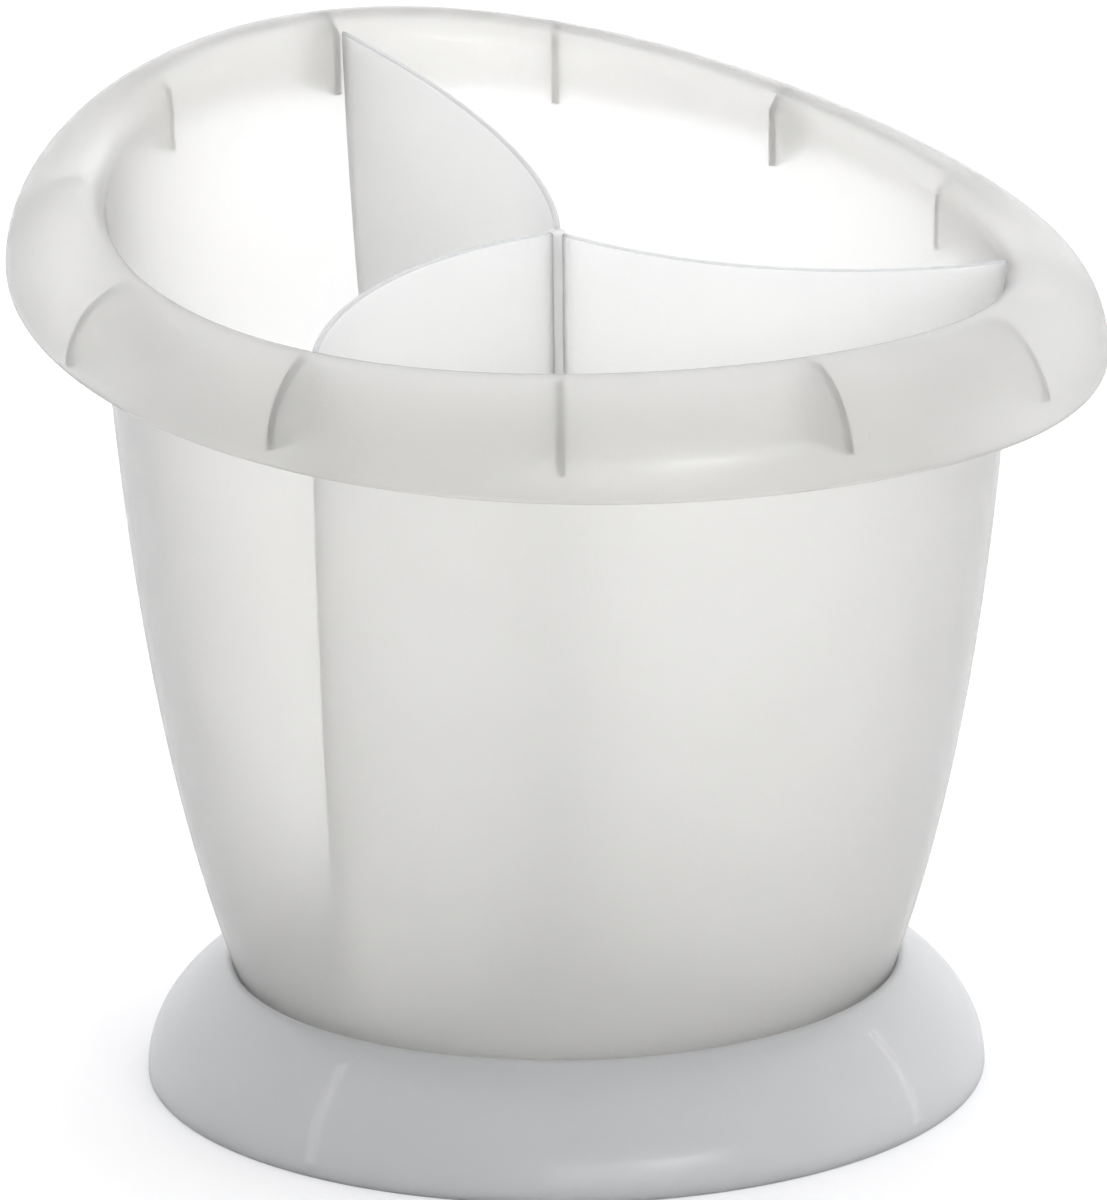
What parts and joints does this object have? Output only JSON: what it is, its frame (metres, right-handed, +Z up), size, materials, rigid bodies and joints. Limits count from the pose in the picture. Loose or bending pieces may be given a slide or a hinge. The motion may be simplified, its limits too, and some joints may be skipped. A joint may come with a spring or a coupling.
{
  "type": "cutlery drainer",
  "caption": "Frosted tapered cutlery cup with a sloping rolled rim and three swirling compartments, standing in a flared drip base that it lifts out of.",
  "frame": {"origin": "centre of the base's bottom edge, at the surface that it stands on", "axes": "+Z up; +X towards the right end of a divider wing; the camera of a usual view looks along +Y; the rim is highest 120 degrees from +X towards +Y"},
  "size_m": [0.1632, 0.1632, 0.1517],
  "materials": {
    "frosted_base": "frosted translucent polypropylene",
    "frosted_cup": "frosted translucent polypropylene",
    "frosted_dividers": "frosted translucent polypropylene"
  },
  "bodies": {
    "drip_base": {"base_skirt": "frosted_base", "base_well": "frosted_base", "base_ribs": "frosted_base", "cup_rests": "frosted_base"},
    "cup": {"cup_wall": "frosted_cup", "cup_floor": "frosted_cup", "rolled_rim": "frosted_cup", "rim_ribs": "frosted_cup", "divider_hub": "frosted_dividers", "divider_wing_rear": "frosted_dividers", "divider_wing_left": "frosted_dividers", "divider_wing_right": "frosted_dividers"}
  },
  "joints": [
    {"name": "cup_lift", "type": "slide", "parent": "drip_base", "child": "cup", "axis": [0, 0, 1], "range_m": [0, 0.05]}
  ]
}
